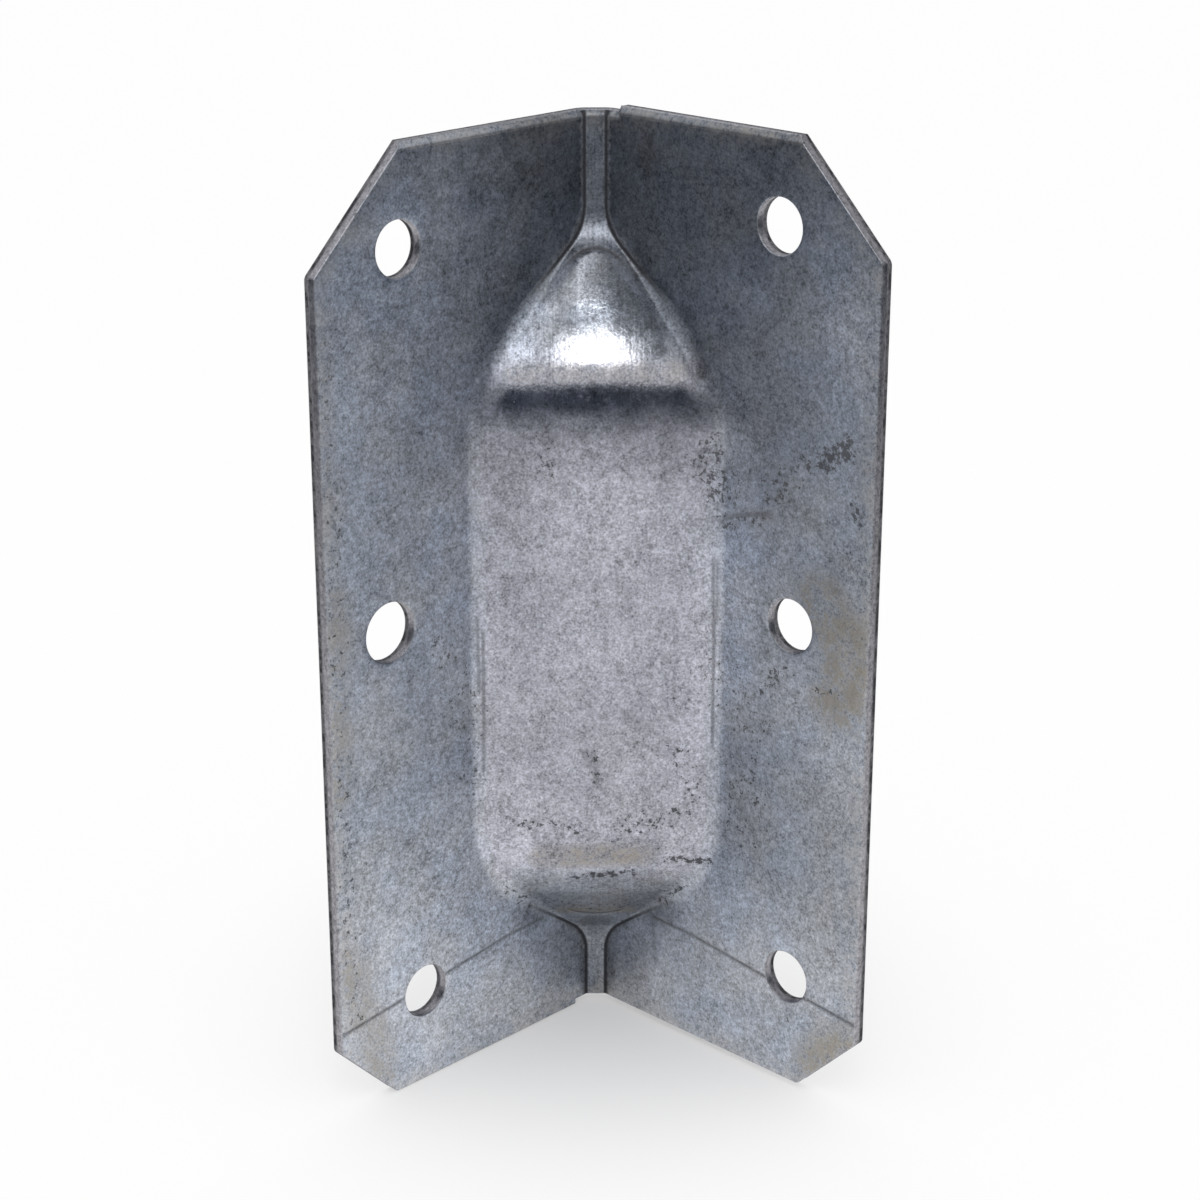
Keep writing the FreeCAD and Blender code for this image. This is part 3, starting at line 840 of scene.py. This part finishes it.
stain_and_reflection_spots = [
    (y_leg_path((26.6, 45.0), (29.6, 41.6), (28.6, 37.0)), 4.2, 1.0),
    (y_leg_path((30.2, 5.0), (28.2, 3.0)), 4.5, 0.9),
    (x_leg_path((30.8, 46.0), (30.9, 30.0)), 2.4, 0.5),
    (x_leg_path((30.6, 14.0), (27.0, 2.6)), 2.6, 0.7),
    (gusset_path((4.6, 18.6), (-3.8, 18.8)), 1.8, 0.9),
    (gusset_path((3.0, 10.8), (-3.0, 10.8)), 1.0, 0.9),
    # This band across the upper shoulder is a painted reflection: the beige band below the bright patch.
    (gusset_path((6.5, 62.0), (-6.5, 62.0)), 1.4, 0.5),
]
line_and_crease_shade_spots = [
    (y_leg_path(*y_drag_mark), 0.40, 0.8),
    (y_leg_path(*y_smear), 0.9, 0.35),
    # The next four lines lie in the creases beside the panel: painted crease shade, not scratches.
    (gusset_path((-9.7, 46.5), (-9.9, 39.0), (-9.9, 29.4)), 0.26, 0.72),
    (gusset_path((-10.1, 46.2), (-10.2, 40.4)), 0.34, 0.80),
    (gusset_path((10.1, 41.3), (10.0, 34.5)), 0.33, 0.70),
    (gusset_path((9.6, 40.0), (9.6, 34.5), (9.7, 27.1)), 0.25, 0.58),
    (gusset_path((1.0, 28.9), (0.2, 27.6), (-0.1, 25.6)), 0.55, 0.40),
    (gusset_path((-2.6, 32.2), (-4.2, 30.6)), 0.80, 0.28),
    (y_leg_path((8.5, 9.7), (8.7, 6.5)), 0.26, 0.7),
    (y_leg_path((17.0, 26.1), (19.1, 24.3), (20.7, 21.6)), 0.55, 0.35),
    (x_leg_path((11.6, 9.3), (12.7, 7.0)), 0.24, 0.4),
    (x_leg_path((10.3, 8.4), (11.3, 6.8)), 0.22, 0.35),
]
specks = rubbed(speck_spots)
stains_and_reflection = rubbed(stain_and_reflection_spots)
lines_and_crease_shade = np.maximum(rubbed(line_and_crease_shade_spots), 0.9 * tool_mark)
print("points with specks:", int((specks > 0.1).sum()), "stains:", int((stains_and_reflection > 0.1).sum()))

# %% Tarnish with painted shade, and pale spots with painted highlights
tarnish_and_shade_spots = [
    (y_leg_path((3.0, 82.0), (20.0, 80.0)), 17.0, 0.46),
    (y_leg_path((12.0, 74.0), (16.0, 60.0)), 17.0, 0.26),
    (y_leg_path((28.0, 56.0), (28.0, 44.0)), 9.0, 0.14),
    (x_leg_path((24.0, 38.0), (24.0, 31.0)), 12.0, 0.05),
    (y_leg_path((20.0, 25.0), (28.0, 22.0)), 12.0, 0.24),
    (y_leg_path((14.0, 14.0), (26.0, 8.0)), 14.0, 0.04),
    (x_leg_path((2.0, 80.0), (9.0, 66.0)), 7.0, 0.26),
    # These two strokes on the right of the upper slope paint shade.
    (gusset_path((-3.4, 69.6), (-7.2, 63.6)), 3.4, 0.46),
    (gusset_path((-3.5, 68.9), (-5.8, 65.9), (-8.2, 62.4)), 1.9, 0.60),
    (gusset_path((0.0, 56.0), (0.0, 24.0)), 16.0, 0.14),
    # The next four strokes darken the lower slope and the foot of the bend: partly dirt, partly painted
    # shade.
    (gusset_path((4.0, 19.6), (-4.0, 19.6)), 2.6, 0.25),
    (gusset_path((4.5, 14.6), (-4.0, 14.6)), 4.2, 0.40),
    (gusset_path((4.0, 12.4), (-4.0, 12.4)), 5.0, 0.52),
    (gusset_path((0.0, 9.0), (0.0, 0.5)), 2.6, 0.48),
    (gusset_path((0.0, 82.0), (0.0, 71.0)), 2.2, 0.25),
    (x_leg_path((5.0, 9.0), (3.5, 2.0)), 7.0, 0.26),
    (y_leg_path((4.5, 9.0), (3.5, 2.0)), 6.0, 0.20),
]
pale_and_highlight_spots = [
    (gusset_path((-1.0, 48.0), (-1.0, 42.0)), 12.0, 0.20),
    (gusset_path((-1.0, 40.0), (-1.0, 24.0)), 12.0, 0.04),
    (gusset_path((-8.6, 54.0), (-8.6, 42.0)), 3.6, 0.26),
    (gusset_path((-8.6, 40.0), (-8.6, 24.0)), 3.6, 0.13),
    (y_leg_path((16.2, 55.0), (16.2, 37.0)), 5.0, 0.30),
    (y_leg_path((29.0, 75.0), (30.5, 70.0)), 9.0, 0.22),
    # The next two are painted highlights: a bright streak on the upper slope and a pale patch beside it.
    (gusset_path((1.2, 69.7), (1.3, 66.8)), 0.8, 0.95),
    (gusset_path((4.6, 66.2), (6.2, 63.6)), 1.8, 0.35),
    (x_leg_path((24.0, 72.0), (29.0, 66.0)), 11.0, 0.22),
    (x_leg_path((17.0, 50.0), (16.5, 38.0)), 6.0, 0.14),
    (x_leg_path((16.0, 17.0), (26.0, 8.0)), 15.0, 0.14),
]
tarnish_and_shade = rubbed(tarnish_and_shade_spots) - rubbed(pale_and_highlight_spots)
print("tarnish from", round(float(tarnish_and_shade.min()), 2), "to", round(float(tarnish_and_shade.max()), 2))

# %% Creases with their dirt and painted shade, polish and edges
row_p = np.repeat(profile[:, 0], columns)
row_z = np.repeat(profile[:, 1], columns)
row_tilt = np.repeat(np.abs(profile[:, 2]), columns)
column = np.tile(np.arange(columns), rows)
from_crease = np.clip(np.minimum(column, columns - 1 - column) / crease_parts, 0, 1)
past_foot = smooth(row_p, 3.6, 4.6)
on_slope = smooth(row_tilt, 0.10, 0.45)
burnished = np.where(row_z > 40, smooth(row_z, 58.0, 60.6), 0.3 * on_slope)
inward = (np.minimum(column, columns - 1 - column) - crease_parts) / (panel_parts / 2)
polish, striped, on_panel, crease_dirt_and_shade = np.zeros((4, skin_count))
polish[on_grid] = smooth(inward, 0, 0.2) * past_foot * burnished
striped[on_grid] = from_crease * np.maximum(on_slope, row_p < root_p + 0.6)
on_panel[on_grid] = from_crease * smooth(row_p, 9.0, 11.5)
edge_gap = path_gap(points, np.vstack([points[outer_ids], points[outer_ids[:1]]]))
narrow = 1 - smooth(np.interp(height, profile[:, 1], profile[:, 0]), 4.5, 8.5)
# Dark lines along the sharp creases beside the narrow bend: partly dirt, partly painted shade.
for foot_line in (grid_points[:, crease_parts // 3], grid_points[:, -1 - crease_parts // 3]):
    crease_dirt_and_shade = np.maximum(crease_dirt_and_shade, (1 - smooth(path_gap(points, foot_line), 0.08, 0.26)) * narrow)
print("polished points:", int((polish > 0.5).sum()))

# %% Store the marks
wall_count = len(solid_points) - 2 * skin_count


def store(name, front, back, walls):
    """Keep one number per point of the mesh under a name, for the front, the back and the edge walls."""
    sides = ((front, skin_count), (back, skin_count), (walls, wall_count))
    parts = [np.broadcast_to(value, count) for value, count in sides]
    layer = sheet_mesh.attributes.new(name, "FLOAT", "POINT")
    layer.data.foreach_set("value", np.concatenate(parts).astype(np.float32))


store("specks", specks, 0.3, 0.0)
store("stains_and_reflection", stains_and_reflection, 0.25, 0.0)
store("lines_and_crease_shade", lines_and_crease_shade, 0.0, 0.0)
store("tarnish_and_shade", tarnish_and_shade, 0.1, 0.0)
store("crease_dirt_and_shade", crease_dirt_and_shade, 0.0, 0.0)
store("polish", polish, 0.0, 0.0)
store("striped", striped, 0.0, 0.0)
store("on_panel", on_panel, 0.0, 0.0)
store("rolled", rolled_in, 0.0, 0.0)
store("edge_gap", edge_gap, 9.0, 0.0)
store("cut_wall", 0.0, 0.0, wall_share)
store("torn", 0.0, 0.0, torn_share)
print("attributes:", len(sheet_mesh.attributes))

# %% [markdown]
# ## Zinc
# Hot-dip zinc is a soft blue-grey metal that dulls unevenly. Fields of noise make it: clouds a
# centimetre or two wide, mottling of a millimetre or two, and two fine grains. A single flat
# grey with a bump map would look like plastic, so tone, roughness and bump all follow the
# same fields, and then each mark adds its own colour on top. Some of those marks are painted
# light: shade in creases and on the gusset, a beige reflection band and a few highlights.

# %% Zinc fields
zinc, tree, output = empty_material("dull_zinc")
metres = put(tree, "ShaderNodeTexCoord").outputs["Object"]
place = put(tree, "ShaderNodeVectorMath", {0: metres, "Scale": 1000.0}, operation="SCALE").outputs[0]


def mark(name):
    """One of the numbers kept on the mesh."""
    return put(tree, "ShaderNodeAttribute", attribute_name=name).outputs["Fac"]


def noise_field(scale, detail, roughness=0.55, where=place):
    """Noise with about this many waves in a millimetre, moved to swing round zero."""
    sockets = {"Vector": where, "Scale": scale, "Detail": detail, "Roughness": roughness}
    return math_node(tree, "SUBTRACT", put(tree, "ShaderNodeTexNoise", sockets).outputs["Fac"], 0.5)


def add_share(value, share, onto):
    """The second value with a share of the first added on to it."""
    return math_node(tree, "MULTIPLY_ADD", value, share, onto)


clouds = noise_field(0.07, 3.0)
mottling = noise_field(0.50, 4.0, 0.65)
grain = noise_field(2.2, 2.0, 0.65)
fine_grain = noise_field(5.5, 1.0)
hue_drift = noise_field(0.16, 3.0, 0.6)
sideways = put(tree, "ShaderNodeVectorMath", {0: place, 1: tuple(across_q)}, operation="DOT_PRODUCT")
lengthways = put(tree, "ShaderNodeCombineXYZ", {
    "X": math_node(tree, "MULTIPLY", sideways.outputs["Value"], 4.0),
    "Z": math_node(tree, "MULTIPLY", put(tree, "ShaderNodeSeparateXYZ", {0: place}).outputs["Z"], 0.22),
}).outputs[0]
striations = math_node(tree, "MULTIPLY", noise_field(1.0, 2.0, 0.6, lengthways), mark("striped"))
print("noise fields:", sum(1 for node in tree.nodes if node.type == "TEX_NOISE"))

# %% Zinc colour
cold_zinc, warm_zinc = (0.505, 0.545, 0.622, 1), (0.535, 0.549, 0.590, 1)
panel_zinc = (0.550, 0.545, 0.605, 1)
edge_brown, stain_and_reflection_brown = (0.50, 0.455, 0.385, 1), (0.36, 0.31, 0.23, 1)
panel_mottling = math_node(tree, "MULTIPLY", mottling, mark("on_panel"))
tone = math_node(tree, "MULTIPLY_ADD", clouds, 0.45, 1.0)
shares = ((mottling, 0.85), (panel_mottling, 0.35), (grain, 1.3), (fine_grain, 1.4), (striations, 0.8))
for part, share in shares:
    tone = add_share(part, share, tone)
# Tarnish dulls the tone; these numbers also hold painted shade, and below zero they paint highlights.
tone = math_node(tree, "MULTIPLY", tone, math_node(tree, "SUBTRACT", 1.0, mark("tarnish_and_shade")))
cold_or_warm = fade(tree, hue_drift, -0.14, 0.14)
zinc_tint = blend_colour(tree, cold_or_warm, cold_zinc, warm_zinc)
panel_share = math_node(tree, "MULTIPLY", mark("on_panel"), 0.8)
zinc_tint = blend_colour(tree, panel_share, zinc_tint, panel_zinc)
zinc_grey = put(tree, "ShaderNodeVectorMath", {0: zinc_tint, "Scale": tone}, operation="SCALE").outputs[0]

blotches = add_share(grain, 0.8, mottling)
patchy = fade(tree, blotches, -0.15, 0.15)
near_edge = fade(tree, mark("edge_gap"), 0.2, 2.2, 0.35, 0.0)
brown_edge = math_node(tree, "MULTIPLY", near_edge, patchy)
colour = blend_colour(tree, brown_edge, zinc_grey, edge_brown)
# The stain brown also paints the beige reflection band across the upper shoulder.
stain_and_reflection_share = fade(tree, blotches, -0.15, 0.15, 0.15, 0.70)
stain_and_reflection_amount = math_node(tree, "MULTIPLY", mark("stains_and_reflection"), stain_and_reflection_share)
colour = blend_colour(tree, stain_and_reflection_amount, colour, stain_and_reflection_brown)
print("colour fields joined")

# %% Grime and painted shade
grime_and_shade_black = (0.022, 0.022, 0.026, 1)
flecks = noise_field(2.1, 2.0, 0.6)
broken_flecks = add_share(fine_grain, 0.45, flecks)
fleck_amount = fade(tree, add_share(mark("specks"), 0.31, broken_flecks), 0.25, 0.36, 0.0, 0.9)
smears = fade(tree, noise_field(0.85, 5.0, 0.75), 0.10, 0.20, 0.0, 0.22)
# Lines are scratches and tool marks, plus painted shade along the panel's side creases.
line_and_crease_shade_amount = math_node(tree, "MULTIPLY", mark("lines_and_crease_shade"), fade(tree, grain, -0.25, 0.1, 0.55, 0.95))
under_roll = fade(tree, mark("rolled"), 0.02, 0.10)
past_roll = fade(tree, mark("rolled"), 0.15, 0.45, 0.75, 0.20)
roll_amount = math_node(tree, "MULTIPLY", under_roll, past_roll)
# This mixes specks, smears, scratches and tool lines with painted shade in the creases; the roll term
# darkens a line where the face starts to roll over, and the roll itself a little.
grime_and_shade = math_node(tree, "MAXIMUM", fleck_amount, line_and_crease_shade_amount)
grime_and_shade = math_node(tree, "MAXIMUM", grime_and_shade, smears)
grime_and_shade = math_node(tree, "MAXIMUM", grime_and_shade, roll_amount)
grime_and_shade = math_node(tree, "MAXIMUM", grime_and_shade, mark("crease_dirt_and_shade"))
grime_and_shade = math_node(tree, "MULTIPLY", grime_and_shade, 0.94)
colour = blend_colour(tree, grime_and_shade, colour, grime_and_shade_black)
print("grime joined")

# %% Cut faces
cut_grey = (0.34, 0.33, 0.35)
torn_black = (0.03, 0.03, 0.035, 1)
bright_cut = put(tree, "ShaderNodeVectorMath", {0: cut_grey, "Scale": tone}, operation="SCALE")
torn_amount = math_node(tree, "MULTIPLY", mark("torn"), fade(tree, blotches, -0.2, 0.15, 0.55, 1.0))
cut_tone = blend_colour(tree, torn_amount, bright_cut.outputs[0], torn_black)
colour = blend_colour(tree, mark("cut_wall"), colour, cut_tone)
print("cut faces joined")

# %% Zinc surface
rough = add_share(mottling, 0.22, math_node(tree, "MULTIPLY_ADD", mark("polish"), -0.27, 0.44))
rough = add_share(grime_and_shade, 0.25, rough)
rough = add_share(mark("torn"), 0.25, rough)
relief = add_share(grain, 0.007, math_node(tree, "MULTIPLY", mottling, 0.012))
relief = add_share(clouds, 0.06, relief)
relief = add_share(striations, 0.0035, relief)
bump = put(tree, "ShaderNodeBump", {"Height": relief, "Distance": mm, "Strength": 1.0})
dull = math_node(tree, "MAXIMUM", grime_and_shade, mark("torn"))
metal = put(tree, "ShaderNodeBsdfPrincipled", {
    "Base Color": colour,
    "Metallic": math_node(tree, "MULTIPLY_ADD", dull, -0.8, 1.0),
    "Roughness": rough,
    "Specular IOR Level": math_node(tree, "MULTIPLY_ADD", dull, -0.35, 0.5),
    "Normal": bump.outputs[0],
})
tree.links.new(metal.outputs[0], output.inputs["Surface"])
sheet_mesh.materials.append(zinc)
print("nodes in the zinc:", len(tree.nodes))
